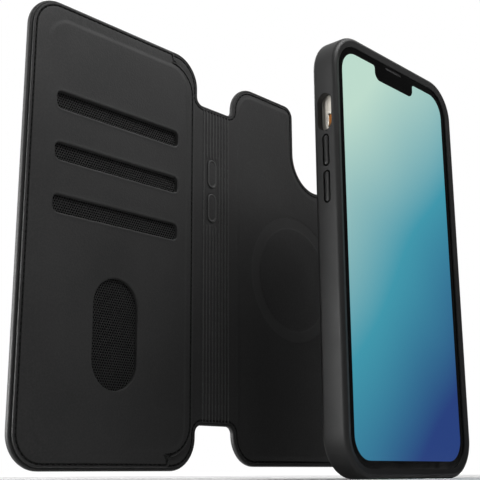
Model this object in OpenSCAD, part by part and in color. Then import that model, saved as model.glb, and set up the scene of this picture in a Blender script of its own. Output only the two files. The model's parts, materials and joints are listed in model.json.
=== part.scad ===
// Folio wallet case for a large smartphone, opened flat, with its slim inner case standing off it.
// X runs along the opened folio, Y from the screen to the folio's outer face, Z up.

/* [Phone] */
// Width of the phone body
phone_w = 78.1; // [74:0.1:82]
// Height of the phone body
phone_h = 160.8; // [150:0.1:168]
// Thickness of the phone body
phone_t = 7.8; // [7:0.1:9]
// Radius of the phone's corners
phone_corner_r = 12.3; // [10:0.1:15]
// Width of the lit area of the screen
lit_w = 71.2; // [66:0.1:74]
// Height of the lit area of the screen
lit_h = 154.1; // [144:0.1:160]
// Radius of the lit area's corners
lit_corner_r = 8.9; // [6:0.1:12]
// Width of the notch in the screen
notch_w = 27.2; // [16:0.1:34]
// Depth of the notch in the screen
notch_h = 5.8; // [4:0.1:8]

/* [Inner case] */
// Thickness of the bumper's side walls
case_wall = 3; // [2.6:0.1:4]
// How far the front lip stands above the glass
lip_rise = 1.2; // [0.8:0.1:2]
// How far the front lip reaches over the edge of the glass
lip_grip = 0.6; // [0.3:0.1:1]
// Thickness of the back plate
back_plate_t = 1.85; // [1.5:0.05:2.5]
// Rounding of the bumper's outer edges
edge_r = 1.9; // [1:0.1:2.2]
// Travel of the case's push buttons
button_travel = 0.35; // [0.2:0.05:0.5]

/* [Folio] */
// Gap between the case and the folio when the case stands off it
display_gap = 45.2; // [40:0.1:60]
// Thickness of each leather panel
panel_t = 2.4; // [2.2:0.1:3]
// Thickness of the outer leather
skin_t = 0.6; // [0.5:0.1:0.8]
// Thickness of the inner lining
lining_t = 0.6; // [0.5:0.1:0.8]
// Width of the front cover
cover_w = 80.4; // [76:0.1:84]
// Height of the front cover
cover_h = 161.2; // [154:0.1:166]
// Width of the back panel
back_w = 78.9; // [76:0.1:80]
// Height of the back panel
back_h = 156.9; // [150:0.1:162]
// Height of the spine between its end notches
spine_h = 126.8; // [110:0.1:140]
// Distance between the two fold lines, which is the depth of the closed wallet
fold_pitch = 12.8; // [12.6:0.1:15]
// Distance from the phone's centre to the rear fold line
rear_fold_x = 44.2; // [43.6:0.1:46]
// Radius of the panels' corners
panel_corner_r = 12; // [8:0.1:12]
// Radius of the inside corners where the folds meet the panels
notch_r = 3; // [1:0.1:3.4]

/* [Card pocket] */
// How far the card pocket stands above the lining
pocket_rise = 0.9; // [0.8:0.05:1]
// Length of each card slot
slot_len = 56.8; // [55:0.1:60]
// Height of each card slot's mouth
slot_h = 6.1; // [5:0.1:8]
// Distance from one card slot to the next
slot_pitch = 18.5; // [14:0.1:22]
// Width of the thumb window
thumb_w = 19.8; // [16:0.1:24]
// Height of the thumb window
thumb_h = 38.8; // [30:0.1:44]

/* [Magnets] */
// Outer radius of the magnet rings
ring_outer_r = 27.4; // [26:0.1:28]
// Inner radius of the magnet rings
ring_inner_r = 22.1; // [21:0.1:24]

/* [Hidden] */
$fn = 64;

// Straight steps in a quarter turn of a rounded outline
corner_steps = 14;
// Small clearances
seat_gap = 0.1;
guide_gap = 0.35;
moat = 0.5;
hair = 0.02;
// How far a cutting shape runs past what it cuts
past = 1;
// Keeps the ends of a round-ended bar from meeting in one point
round_off = 0.001;

// Depths, front to back
glass_t = 0.75;
case_front_y = -lip_rise;
case_back_y = phone_t + seat_gap + back_plate_t;
lining_y = case_back_y + display_gap;
lining_back_y = lining_y + lining_t;
skin_front_y = lining_y + panel_t - skin_t;
outer_y = lining_y + panel_t;
pocket_y = lining_y - pocket_rise;
pocket_leather_t = 0.6;
sleeve_t = 0.2;
sleeve_count = 3;
base_lining_y = pocket_y + pocket_leather_t + sleeve_count * sleeve_t;

// Edges across the opened folio
rear_x = -rear_fold_x;
front_x = rear_x - fold_pitch;
fold_reach = panel_t + 0.4;
cover_reach = 1.6;
spine_right_x = rear_x - fold_reach;
spine_left_x = front_x + fold_reach;
back_right_x = phone_w / 2 + 1.55;
back_left_x = back_right_x - back_w;
cover_right_x = front_x - cover_reach;
cover_left_x = cover_right_x - cover_w;
cover_mid_x = cover_right_x - cover_w / 2;

// Heights: the cover and the back panel are not centred on the phone exactly
cover_top_z = cover_h / 2 + 0.3;
cover_bottom_z = cover_top_z - cover_h;
back_top_z = back_h / 2 - 0.3;
back_bottom_z = back_top_z - back_h;
spine_top_z = spine_h / 2 - 0.5;
spine_bottom_z = spine_top_z - spine_h;
ring_z = -0.6;

// Camera window cut out of the back panel's upper corner
window_x = 1;
window_z = 41.6;
window_r = 15;
window_lip_r = 5;

// Card pocket outline and features
pocket_inset = 1.1;
pocket_right_x = cover_right_x - 2.7;
tab_x = cover_right_x - 14;
tab_h = 3.6;
pocket_gap = 0.3;
slot_r = 1.8;
slot_top_z = 44;
slot_mid_x = cover_mid_x;
thumb_z = -34.4;
sleeve_w = 61;
sleeve_r = 2;
sleeve_rise = 5;
sleeve_bottom_z = -60;
pocket_rim = 6;

// Seams
seam_in = 2.1;
pocket_seam_in = 1.1;
spine_seam_in = 1.15;
seam_w = 0.5;
seam_rise = 0.15;

// Ribs of the folding spine
first_rib_x = front_x + 1.8;
rib_pitch = 1.725;
rib_w = 0.8;
rib_rise = 0.35;

// Push pads on the spine, beside the volume buttons of the closed case
pad_w = 5;
pad_h = 11.8;
pad_rise = 0.45;
pad_zone_top_z = 41.9;
pad_zone_bottom_z = 13.1;
pad_x = (spine_left_x + spine_right_x) / 2;

// Phone and case controls, along the height
button_y = 3.95;
volume_up_z = 35;
volume_down_z = 20.9;
side_z = 28.5;
switch_z = 47.7;
volume_pad_len = 11.6;
side_pad_len = 18;
case_pad_w = 2.1;
key_w = 2.5;
volume_key_len = 10.4;
side_key_len = 16.8;
key_rise = 0.4;
key_depth = 1.5;
key_gap = 0.3;
key_touch = 0.05;
switch_slot_y = 4.2;
switch_slot_z = 50.2;
switch_slot_len = 14.8;
switch_slot_w = 6.4;
switch_len = 4.6;
switch_w = 1.7;
switch_throw = 0.9;
switch_rise = 0.3;
switch_depth = 1.4;
switch_end_gap = 0.4;
switch_side_gap = 0.2;
button_rise = 0.25;

// Phone body
frame_wall = 2.4;
glass_inset = 0.35;
internals_inset = 10;
notch_lip_r = 1.2;
notch_corner_r = 3.3;
earpiece_w = 11.4;
earpiece_h = 0.9;
earpiece_z = 78.4;
earpiece_sunk = 0.2;
front_camera_x = -8.3;
front_camera_z = 74.3;
front_camera_r = 1.9;
camera_x = 21.2;
camera_z = 62.3;
camera_plate_w = 28.7;
camera_plate_r = 8;
camera_hole_w = 31.3;
camera_hole_r = 9.3;
guard_w = 34.9;
guard_r = 11.1;
guard_rise = 1.5;
camera_plate_rise = 1.7;
lens_r = 6.7;
lens_offset = 6.3;
lens_rise = 1.3;
lens_spots = [[lens_offset, lens_offset], [-lens_offset, -lens_offset]];
flash_spot = [lens_offset, -lens_offset];
flash_r = 3;
flash_rise = 0.3;
port_y = phone_t / 2;
socket_w = 8.4;
socket_h = 3;
socket_depth = 6.4;
socket_wall = 0.4;
port_w = 14;
port_h = 6;
speaker_x = 20;
speaker_w = 15;
speaker_h = 2.2;
speaker_hole_r = 0.7;
speaker_hole_pitch = 2.5;

// Section of the bumper, measured inward from its outer face
lip_u = case_wall + lip_grip;
wall_u = case_wall - seat_gap;
plate_u = case_wall - 0.5;
lip_edge_y = -0.5;
lip_round_r = 0.9 * edge_r;

// Magnet rings
magnet_bed = 0.3;
case_magnet_t = 0.95;
magnet_gap = 0.05;

// The origin is under the middle of the whole object, at the height it stands on
case_half_w = phone_w / 2 + case_wall;
case_half_h = phone_h / 2 + case_wall;
origin = [
    (cover_left_x + case_half_w + button_rise) / 2,
    (case_front_y + outer_y) / 2,
    -case_half_h
];

// ---- Outlines: every corner is [x, z, radius], taken anticlockwise ----

function heading(v) = atan2(v.y, v.x);

// Points of one rounded corner, where the outline comes from p, turns at q and leaves for s
function corner_points(p, q, s, r) =
    let (
        back = (p - q) / norm(p - q),
        ahead = (s - q) / norm(s - q),
        half = acos(max(-1, min(1, back * ahead))) / 2,
        centre = q + (back + ahead) / norm(back + ahead) * r / sin(half),
        first = q + back * r / tan(half) - centre,
        last = q + ahead * r / tan(half) - centre,
        turn = ((heading(last) - heading(first) + 540) % 360) - 180,
        steps = max(2, ceil(corner_steps * abs(turn) / 90))
    )
    [
        for (i = [0:steps])
        let (a = heading(first) + turn * i / steps)
        centre + r * [cos(a), sin(a)]
    ];

function rounded(corners) =
    let (n = len(corners))
    [
        for (i = [0:n - 1])
        let (
            p = corners[(i + n - 1) % n],
            q = corners[i],
            s = corners[(i + 1) % n]
        )
        each q[2] > 0
            ? corner_points([p.x, p.y], [q.x, q.y], [s.x, s.y], q[2])
            : [[q.x, q.y]]
    ];

function box_corners(x0, x1, z0, z1, r) = [
    [x0, z0, r],
    [x1, z0, r],
    [x1, z1, r],
    [x0, z1, r]
];

function centred_corners(w, h, r, cx = 0, cz = 0) =
    box_corners(cx - w / 2, cx + w / 2, cz - h / 2, cz + h / 2, r);

function phone_corners(inset) =
    centred_corners(phone_w - 2 * inset, phone_h - 2 * inset, phone_corner_r - inset);

function cover_corners(inset) = box_corners(
    cover_left_x + inset,
    cover_right_x - inset,
    cover_bottom_z + inset,
    cover_top_z - inset,
    panel_corner_r - inset
);

// The back panel is a rounded rectangle whose upper corner makes way for the camera
function back_corners(inset) = [
    [back_left_x + inset, back_bottom_z + inset, panel_corner_r - inset],
    [back_right_x - inset, back_bottom_z + inset, panel_corner_r - inset],
    [back_right_x - inset, window_z - inset, window_lip_r - inset],
    [window_x - inset, window_z - inset, window_r + inset],
    [window_x - inset, back_top_z - inset, window_lip_r - inset],
    [back_left_x + inset, back_top_z - inset, panel_corner_r - inset]
];

// The card pocket steps in beside its two end tabs, so that the lining shows at the fold's corners
function pocket_corners(inset) = [
    [cover_left_x + pocket_inset + inset, cover_bottom_z + pocket_inset + inset,
        panel_corner_r - pocket_inset - inset],
    [tab_x - inset, cover_bottom_z + pocket_inset + inset, 0],
    [tab_x - inset, cover_bottom_z + pocket_inset + tab_h + inset, 0],
    [pocket_right_x - inset, cover_bottom_z + pocket_inset + tab_h + inset,
        panel_corner_r - inset],
    [pocket_right_x - inset, cover_top_z - pocket_inset - tab_h - inset,
        panel_corner_r - inset],
    [tab_x - inset, cover_top_z - pocket_inset - tab_h - inset, 0],
    [tab_x - inset, cover_top_z - pocket_inset - inset, 0],
    [cover_left_x + pocket_inset + inset, cover_top_z - pocket_inset - inset,
        panel_corner_r - pocket_inset - inset]
];

function spine_corners(inset, x0, x1) =
    box_corners(x0, x1, spine_bottom_z + inset, spine_top_z - inset, 0);

// A fold strip runs from a panel's edge to the spine, with a round inside corner at both ends
function fold_points(panel_x, spine_x) = concat(
    corner_points([panel_x, spine_bottom_z - past], [panel_x, spine_bottom_z],
        [spine_x, spine_bottom_z], notch_r),
    [
        [spine_x, spine_bottom_z],
        [spine_x, spine_top_z]
    ],
    corner_points([spine_x, spine_top_z], [panel_x, spine_top_z],
        [panel_x, spine_top_z + past], notch_r)
);

function lit_corners() = [
    [-lit_w / 2, -lit_h / 2, lit_corner_r],
    [lit_w / 2, -lit_h / 2, lit_corner_r],
    [lit_w / 2, lit_h / 2, lit_corner_r],
    [notch_w / 2, lit_h / 2, notch_lip_r],
    [notch_w / 2, lit_h / 2 - notch_h, notch_corner_r],
    [-notch_w / 2, lit_h / 2 - notch_h, notch_corner_r],
    [-notch_w / 2, lit_h / 2, notch_lip_r],
    [-lit_w / 2, lit_h / 2, lit_corner_r]
];

// ---- Building helpers ----

// Everything is drawn about the phone's centre and stood on the ground here
module placed() {
    translate(-origin) children();
}

// A flat drawing in X and Z, raised from depth y0 to depth y1
module slab(y0, y1) {
    translate([0, y1, 0]) rotate([90, 0, 0]) linear_extrude(y1 - y0) children();
}

module outline(corners) {
    polygon(rounded(corners));
}

module band(outer, inner) {
    difference() {
        outline(outer);
        outline(inner);
    }
}

// A shallow leather tray: a floor with a turned-up edge
module tray(corners, inner, floor_y, edge_y) {
    union() {
        slab(floor_y, outer_y) outline(corners);
        slab(edge_y, floor_y) band(corners, inner);
    }
}

// An outline with round ends, w across and len long
module pill(w, len) {
    polygon(rounded(centred_corners(w, len, min(w, len) / 2 - round_off)));
}

// A bar with round ends that stands out sideways, long in Z and w wide in Y
module side_pill(x0, x1, len, w, cy, cz) {
    translate([x0, cy, cz]) rotate([90, 0, 90]) linear_extrude(x1 - x0) pill(w, len);
}

module ring(outer_r, inner_r, y0, y1) {
    translate([0, y1, ring_z]) rotate([90, 0, 0]) difference() {
        cylinder(h = y1 - y0, r = outer_r, $fn = 128);
        translate([0, 0, -past]) cylinder(h = y1 - y0 + 2 * past, r = inner_r, $fn = 128);
    }
}

// ---- Back panel ----

module back_outer_skin() {
    color("#202021") placed() difference() {
        tray(back_corners(0), back_corners(skin_t), skin_front_y, lining_y);
        // The fold's leather joins here, flush with the turned edge
        translate([back_left_x - past, lining_y - past, spine_bottom_z])
            cube([skin_t + past, skin_front_y - lining_y + past, spine_h]);
    }
}

module back_board() {
    color("#5a4f42") placed() difference() {
        slab(lining_back_y, skin_front_y) outline(back_corners(skin_t + seat_gap));
        ring(ring_outer_r + seat_gap, ring_inner_r - seat_gap,
            lining_back_y - past, skin_front_y - magnet_bed);
    }
}

module back_lining() {
    color("#2a2a2b") placed() slab(lining_y, lining_back_y) outline(back_corners(skin_t));
}

module folio_magnet_ring() {
    color("#8d8f92") placed()
        ring(ring_outer_r, ring_inner_r, lining_back_y, skin_front_y - magnet_bed - seat_gap);
}

module back_stitching() {
    color("#101010") placed() slab(lining_y - seam_rise, lining_y)
        band(back_corners(seam_in - seam_w / 2), back_corners(seam_in + seam_w / 2));
}

// ---- Folds: soft leather between two stiffened panels ----

module fold_skin(panel_x, spine_x) {
    slab(skin_front_y, outer_y) polygon(fold_points(panel_x, spine_x));
}

module fold_lining(panel_x, spine_x) {
    slab(lining_y, lining_back_y) polygon(fold_points(panel_x, spine_x));
}

// The ribs are numbered from the cover to the back panel
module rib(i, z0, z1) {
    translate([first_rib_x + i * rib_pitch - rib_w / 2, lining_y - rib_rise, z0])
        cube([rib_w, rib_rise, z1 - z0]);
}

module full_rib(i) {
    rib(i, spine_bottom_z + seam_in, spine_top_z - seam_in);
}

module rear_fold_skin() {
    color("#202021") placed() fold_skin(back_left_x, spine_right_x);
}

module rear_fold_lining() {
    color("#262627") placed() union() {
        fold_lining(back_left_x, spine_right_x);
        for (i = [5:8])
            full_rib(i);
    }
}

module front_fold_skin() {
    color("#202021") placed() fold_skin(cover_right_x, spine_left_x);
}

module front_fold_lining() {
    color("#262627") placed() union() {
        fold_lining(cover_right_x, spine_left_x);
        full_rib(0);
    }
}

// ---- Spine ----

module spine_outer_skin() {
    color("#202021") placed() union() {
        slab(skin_front_y, outer_y) outline(spine_corners(0, spine_left_x, spine_right_x));
        for (z0 = [spine_bottom_z, spine_top_z - skin_t])
            translate([spine_left_x, lining_y, z0])
                cube([spine_right_x - spine_left_x, skin_front_y - lining_y, skin_t]);
    }
}

module pad_outline(gap, cz) {
    translate([pad_x, cz]) pill(pad_w + 2 * gap, pad_h + 2 * gap);
}

module pad_holes(y0, y1) {
    for (cz = [volume_up_z, volume_down_z])
        slab(y0, y1) pad_outline(guide_gap / 2, cz);
}

module spine_board() {
    color("#5a4f42") placed() difference() {
        slab(lining_back_y, skin_front_y)
            outline(spine_corners(skin_t + seat_gap, spine_left_x, spine_right_x));
        pad_holes(lining_back_y - past, skin_front_y + past);
    }
}

module spine_lining() {
    color("#262627") placed() difference() {
        union() {
            slab(lining_y, lining_back_y)
                outline(spine_corners(skin_t, spine_left_x, spine_right_x));
            // Ribs above and below the flat field that holds the two push pads
            for (i = [1:4]) {
                rib(i, spine_bottom_z + seam_in, pad_zone_bottom_z);
                rib(i, pad_zone_top_z, spine_top_z - seam_in);
            }
        }
        pad_holes(lining_y - past, lining_back_y + past);
    }
}

module spine_stitching() {
    color("#101010") placed() for (side = [-1, 1])
        translate([spine_left_x, lining_y - seam_rise,
            spine_top_z - spine_h / 2 + side * (spine_h / 2 - spine_seam_in) - seam_w / 2])
            cube([spine_right_x - spine_left_x, seam_rise, seam_w]);
}

module spine_pad(cz) {
    slab(lining_y - pad_rise, skin_front_y - seat_gap) pad_outline(0, cz);
}

module spine_volume_up_pad() {
    color("#2b2b2c") placed() spine_pad(volume_up_z);
}

module spine_volume_down_pad() {
    color("#2b2b2c") placed() spine_pad(volume_down_z);
}

// ---- Front cover with the card pocket ----

module cover_outer_skin() {
    color("#202021") placed() difference() {
        tray(cover_corners(0), cover_corners(skin_t), skin_front_y, base_lining_y);
        translate([cover_right_x - skin_t, base_lining_y - past, spine_bottom_z])
            cube([skin_t + past, skin_front_y - base_lining_y + past, spine_h]);
    }
}

module cover_board() {
    color("#5a4f42") placed()
        slab(lining_back_y, skin_front_y) outline(cover_corners(skin_t + seat_gap));
}

module cover_lining() {
    color("#2a2a2b") placed()
        slab(base_lining_y, lining_back_y) outline(cover_corners(skin_t));
}

module slot_outline(i) {
    outline(centred_corners(slot_len, slot_h, slot_r, slot_mid_x, slot_top_z - i * slot_pitch));
}

module thumb_outline() {
    translate([cover_mid_x, thumb_z]) pill(thumb_w, thumb_h);
}

module card_pocket_panel() {
    color("#2c2c2d") placed() union() {
        slab(pocket_y, pocket_y + pocket_leather_t) difference() {
            outline(pocket_corners(0));
            for (i = [0:sleeve_count - 1])
                slot_outline(i);
            thumb_outline();
        }
        slab(pocket_y + pocket_leather_t, base_lining_y)
            band(pocket_corners(0), pocket_corners(pocket_rim));
    }
}

// Each sleeve is the woven back wall of one slot's pocket, and the lower ones lie in front
module card_sleeve(i) {
    y0 = pocket_y + pocket_leather_t + (sleeve_count - 1 - i) * sleeve_t;
    top_z = slot_top_z - i * slot_pitch + slot_h / 2 + sleeve_rise;
    slab(y0, y0 + sleeve_t) outline(box_corners(
        slot_mid_x - sleeve_w / 2,
        slot_mid_x + sleeve_w / 2,
        sleeve_bottom_z,
        top_z,
        sleeve_r
    ));
}

module card_sleeve_top() {
    color("#3a3a3c") placed() card_sleeve(0);
}

module card_sleeve_middle() {
    color("#3a3a3c") placed() card_sleeve(1);
}

module card_sleeve_bottom() {
    color("#3a3a3c") placed() card_sleeve(2);
}

module pocket_stitching() {
    color("#101010") placed() slab(pocket_y - seam_rise, pocket_y)
        band(pocket_corners(pocket_seam_in - seam_w / 2), pocket_corners(pocket_seam_in + seam_w / 2));
}

// The lining's own seam shows only in the two corners that the pocket leaves bare
module cover_stitching() {
    color("#101010") placed() slab(base_lining_y - seam_rise, base_lining_y) difference() {
        band(cover_corners(seam_in - seam_w / 2), cover_corners(seam_in + seam_w / 2));
        outline(pocket_corners(-pocket_gap));
        translate([cover_left_x, spine_bottom_z - notch_r])
            square([cover_w + past, spine_h + 2 * notch_r]);
    }
}

// ---- Inner case ----

// Section through the bumper: u runs inward from its outer face, the second value is the depth
function arc(cu, cy, r, a0, a1, steps = 8) = [
    for (i = [0:steps])
    let (a = a0 + (a1 - a0) * i / steps)
    [cu + r * cos(a), cy + r * sin(a)]
];

function bumper_section() = concat(
    arc(edge_r, case_back_y - edge_r, edge_r, 180, 90),
    [
        [plate_u, case_back_y],
        [plate_u, phone_t + seat_gap],
        [wall_u, phone_t + seat_gap],
        [wall_u, -hair],
        [lip_u, -hair],
        [lip_u, lip_edge_y]
    ],
    arc(lip_round_r, case_front_y + lip_round_r, lip_round_r, 270, 180)
);

// The section is carried round a rounded rectangle: four straight runs and four quarter turns
module bumper_ring() {
    half_w = case_half_w;
    half_h = case_half_h;
    r = phone_corner_r + case_wall;
    for (side = [-1, 1]) {
        translate([0, 0, -(half_h - r)]) linear_extrude(2 * (half_h - r))
            polygon([for (p = bumper_section()) [side * (half_w - p[0]), p[1]]]);
        rotate([0, 90, 0]) translate([0, 0, -(half_w - r)]) linear_extrude(2 * (half_w - r))
            polygon([for (p = bumper_section()) [side * (half_h - p[0]), p[1]]]);
    }
    for (sx = [-1, 1], sz = [-1, 1])
        translate([sx * (half_w - r), 0, sz * (half_h - r)])
            rotate([-90, sx > 0 ? (sz > 0 ? -90 : 0) : (sz > 0 ? 180 : 90), 0])
                rotate_extrude(angle = 90, $fn = 96)
                    polygon([for (p = bumper_section()) [r - p[0], p[1]]]);
}

// A moat or slot cut through one side wall of the bumper
module wall_cut(side, len, w, cy, cz) {
    outer = case_half_w + past;
    inner = case_half_w - case_wall - past;
    side_pill(side > 0 ? inner : -outer, side > 0 ? outer : -inner, len, w, cy, cz);
}

module case_frame() {
    color("#2e2e30") placed() difference() {
        bumper_ring();
        // Moats round the push buttons, and the open slot over the ring switch
        for (cz = [volume_up_z, volume_down_z])
            wall_cut(-1, volume_pad_len + 2 * moat, case_pad_w + 2 * moat, button_y, cz);
        wall_cut(1, side_pad_len + 2 * moat, case_pad_w + 2 * moat, button_y, side_z);
        wall_cut(-1, switch_slot_len, switch_slot_w, switch_slot_y, switch_slot_z);
        // Charging port and speaker openings in the lower wall
        translate([0, port_y, -case_half_h - past]) linear_extrude(case_wall + 2 * past) {
            pill(port_w, port_h);
            for (side = [-1, 1])
                translate([side * speaker_x, 0]) pill(speaker_w, speaker_h);
        }
    }
}

module camera_square(w, r) {
    outline(centred_corners(w, w, r, camera_x, camera_z));
}

module case_back_plate() {
    back_y = phone_t + seat_gap;
    color("#303032") placed() difference() {
        union() {
            slab(back_y, case_back_y) outline(phone_corners(plate_u - case_wall + hair));
            slab(case_back_y, case_back_y + guard_rise) camera_square(guard_w, guard_r);
        }
        slab(back_y - past, case_back_y + guard_rise + past)
            camera_square(camera_hole_w, camera_hole_r);
        ring(ring_outer_r + magnet_gap, ring_inner_r - magnet_gap,
            back_y - past, back_y + case_magnet_t + magnet_gap);
    }
}

module case_magnet_ring() {
    color("#8d8f92") placed()
        ring(ring_outer_r, ring_inner_r, phone_t + seat_gap, phone_t + seat_gap + case_magnet_t);
}

// A button cap that fills its moat's middle and reaches in to the phone's key
module case_button(side, len, cz) {
    outer = case_half_w + button_rise;
    inner = phone_w / 2 + key_rise + key_touch;
    side_pill(side > 0 ? inner : -outer, side > 0 ? outer : -inner, len, case_pad_w, button_y, cz);
}

module case_volume_up_button() {
    color("#353537") placed() case_button(-1, volume_pad_len, volume_up_z);
}

module case_volume_down_button() {
    color("#353537") placed() case_button(-1, volume_pad_len, volume_down_z);
}

module case_side_button() {
    color("#353537") placed() case_button(1, side_pad_len, side_z);
}

// ---- Phone ----

module phone_key(side, len, cz) {
    outer = phone_w / 2 + key_rise;
    inner = phone_w / 2 - key_depth;
    side_pill(side > 0 ? inner : -outer, side > 0 ? outer : -inner, len, key_w, button_y, cz);
}

module key_pocket(side, len, cz) {
    outer = phone_w / 2 + past;
    inner = phone_w / 2 - key_depth - button_travel - seat_gap;
    side_pill(side > 0 ? inner : -outer, side > 0 ? outer : -inner,
        len + key_gap, key_w + key_gap, button_y, cz);
}

module phone_frame() {
    color("#c9c4b8") placed() difference() {
        slab(glass_t, phone_t - glass_t) band(phone_corners(0), phone_corners(frame_wall));
        key_pocket(-1, volume_key_len, volume_up_z);
        key_pocket(-1, volume_key_len, volume_down_z);
        key_pocket(1, side_key_len, side_z);
        // Window that the ring switch slides in
        side_pill(-phone_w / 2 - past, -phone_w / 2 + switch_depth + 2 * seat_gap,
            switch_len + 2 * switch_end_gap, switch_w + switch_throw + 2 * switch_side_gap,
            button_y, switch_z);
        translate([0, port_y, -phone_h / 2 - past]) {
            linear_extrude(frame_wall + 2 * past) pill(socket_w + 2 * socket_wall + 2 * seat_gap,
                socket_h + 2 * socket_wall + 2 * seat_gap);
            // Speaker and microphone holes
            for (side = [-1, 1], i = [-2:2])
                translate([side * (speaker_x + i * speaker_hole_pitch), 0, 0])
                    cylinder(h = frame_wall + 2 * past, r = speaker_hole_r, $fn = 24);
        }
    }
}

module phone_front_glass() {
    color("#08080a") placed() slab(0, glass_t) difference() {
        outline(phone_corners(glass_inset));
        outline(lit_corners());
        earpiece_outline(hair);
        translate([front_camera_x, front_camera_z]) circle(r = front_camera_r + hair, $fn = 32);
    }
}

module phone_display() {
    color("#b04a86") placed() slab(0, glass_t) outline(lit_corners());
}

module earpiece_outline(gap) {
    translate([0, earpiece_z]) pill(earpiece_w + 2 * gap, earpiece_h + 2 * gap);
}

module phone_earpiece() {
    color("#1a1a1c") placed() slab(earpiece_sunk, glass_t) earpiece_outline(0);
}

module phone_front_camera() {
    color("#10141c") placed() translate([front_camera_x, glass_t, front_camera_z])
        rotate([90, 0, 0]) cylinder(h = glass_t, r = front_camera_r, $fn = 32);
}

module phone_back_glass() {
    color("#d8d4ca") placed() slab(phone_t - glass_t, phone_t) outline(phone_corners(glass_inset));
}

// A disc on the camera plate, at an offset from its middle
module camera_disc(spot, r, y0, y1) {
    translate([camera_x + spot.x, y1, camera_z + spot.y])
        rotate([90, 0, 0]) cylinder(h = y1 - y0, r = r);
}

module phone_camera_plate() {
    color("#cfcabf") placed() slab(phone_t, phone_t + camera_plate_rise)
        camera_square(camera_plate_w, camera_plate_r);
}

module phone_camera_lenses() {
    color("#16181c") placed() for (spot = lens_spots)
        camera_disc(spot, lens_r, phone_t + camera_plate_rise,
            phone_t + camera_plate_rise + lens_rise);
}

module phone_flash() {
    color("#f2eeda") placed() camera_disc(flash_spot, flash_r, phone_t + camera_plate_rise,
        phone_t + camera_plate_rise + flash_rise);
}

// The battery, boards and chassis as one block of their joint weight
module phone_internals() {
    color("#3c4043") placed()
        slab(glass_t, phone_t - glass_t) outline(phone_corners(internals_inset));
}

// The charging socket is a blind sleeve behind the lower edge
module phone_charging_socket() {
    color("#6f7275") placed() translate([0, port_y, -phone_h / 2]) difference() {
        linear_extrude(socket_depth) pill(socket_w + 2 * socket_wall, socket_h + 2 * socket_wall);
        translate([0, 0, -past]) linear_extrude(socket_depth) pill(socket_w, socket_h);
    }
}

module phone_volume_up_key() {
    color("#d3cec2") placed() phone_key(-1, volume_key_len, volume_up_z);
}

module phone_volume_down_key() {
    color("#d3cec2") placed() phone_key(-1, volume_key_len, volume_down_z);
}

module phone_side_key() {
    color("#d3cec2") placed() phone_key(1, side_key_len, side_z);
}

module phone_ring_switch() {
    color("#d3cec2") placed()
        side_pill(-phone_w / 2 - switch_rise, -phone_w / 2 + switch_depth, switch_len, switch_w,
            button_y + switch_throw / 2, switch_z);
}

back_outer_skin();
back_board();
back_lining();
folio_magnet_ring();
back_stitching();
rear_fold_skin();
rear_fold_lining();
spine_outer_skin();
spine_board();
spine_lining();
spine_stitching();
spine_volume_up_pad();
spine_volume_down_pad();
front_fold_skin();
front_fold_lining();
cover_outer_skin();
cover_board();
cover_lining();
card_pocket_panel();
card_sleeve_top();
card_sleeve_middle();
card_sleeve_bottom();
pocket_stitching();
cover_stitching();
case_frame();
case_back_plate();
case_magnet_ring();
case_volume_up_button();
case_volume_down_button();
case_side_button();
phone_frame();
phone_front_glass();
phone_display();
phone_earpiece();
phone_front_camera();
phone_back_glass();
phone_camera_plate();
phone_camera_lenses();
phone_flash();
phone_internals();
phone_charging_socket();
phone_volume_up_key();
phone_volume_down_key();
phone_side_key();
phone_ring_switch();
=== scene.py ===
"""Folio wallet case for a phone, opened flat, with its slim inner case standing off it.

Lengths are in millimetres about the middle of the phone's screen (x to the right, y from the
screen towards the folio's outer face, z up) and become metres in the CAD frame in place().
The lights and the floor are set out in metres in the CAD frame.
"""
import json
import math

import bmesh
import bpy
import numpy as np
from mathutils import Matrix, Vector
from mathutils.geometry import delaunay_2d_cdt


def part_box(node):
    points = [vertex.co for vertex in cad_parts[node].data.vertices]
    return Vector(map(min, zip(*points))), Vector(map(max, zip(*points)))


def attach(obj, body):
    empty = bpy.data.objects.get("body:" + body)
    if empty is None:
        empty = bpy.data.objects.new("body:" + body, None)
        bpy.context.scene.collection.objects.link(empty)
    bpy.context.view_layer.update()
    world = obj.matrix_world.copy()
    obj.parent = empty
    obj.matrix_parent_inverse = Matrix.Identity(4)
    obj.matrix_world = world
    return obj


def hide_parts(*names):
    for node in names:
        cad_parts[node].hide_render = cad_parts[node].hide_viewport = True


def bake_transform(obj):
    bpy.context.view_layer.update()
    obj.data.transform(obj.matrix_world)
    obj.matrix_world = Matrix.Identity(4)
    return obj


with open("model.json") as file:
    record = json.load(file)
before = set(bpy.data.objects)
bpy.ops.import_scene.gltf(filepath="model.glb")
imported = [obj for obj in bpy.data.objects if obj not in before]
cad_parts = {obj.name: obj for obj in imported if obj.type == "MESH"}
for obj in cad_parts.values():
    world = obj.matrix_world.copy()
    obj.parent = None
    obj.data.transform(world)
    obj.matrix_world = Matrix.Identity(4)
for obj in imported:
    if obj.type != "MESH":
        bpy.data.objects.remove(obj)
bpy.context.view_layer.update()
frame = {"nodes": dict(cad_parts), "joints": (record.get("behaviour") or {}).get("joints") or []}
MM = 0.001

# ---- Measures, read from the CAD frame ----

lit_low, lit_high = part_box("phone_display")
ZERO = np.array([(lit_low.x + lit_high.x) / 2, lit_low.y, (lit_low.z + lit_high.z) / 2])


def span(node):
    """Lowest and highest corner of a CAD node, in millimetres about the screen's middle."""
    low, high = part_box(node)
    return (np.array(low) - ZERO) / MM, (np.array(high) - ZERO) / MM


def centre_of(node):
    low, high = span(node)
    return (low + high) / 2


def place(points):
    """Millimetres about the screen's middle to metres in the CAD frame."""
    return np.asarray(points, float) * MM + ZERO


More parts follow.
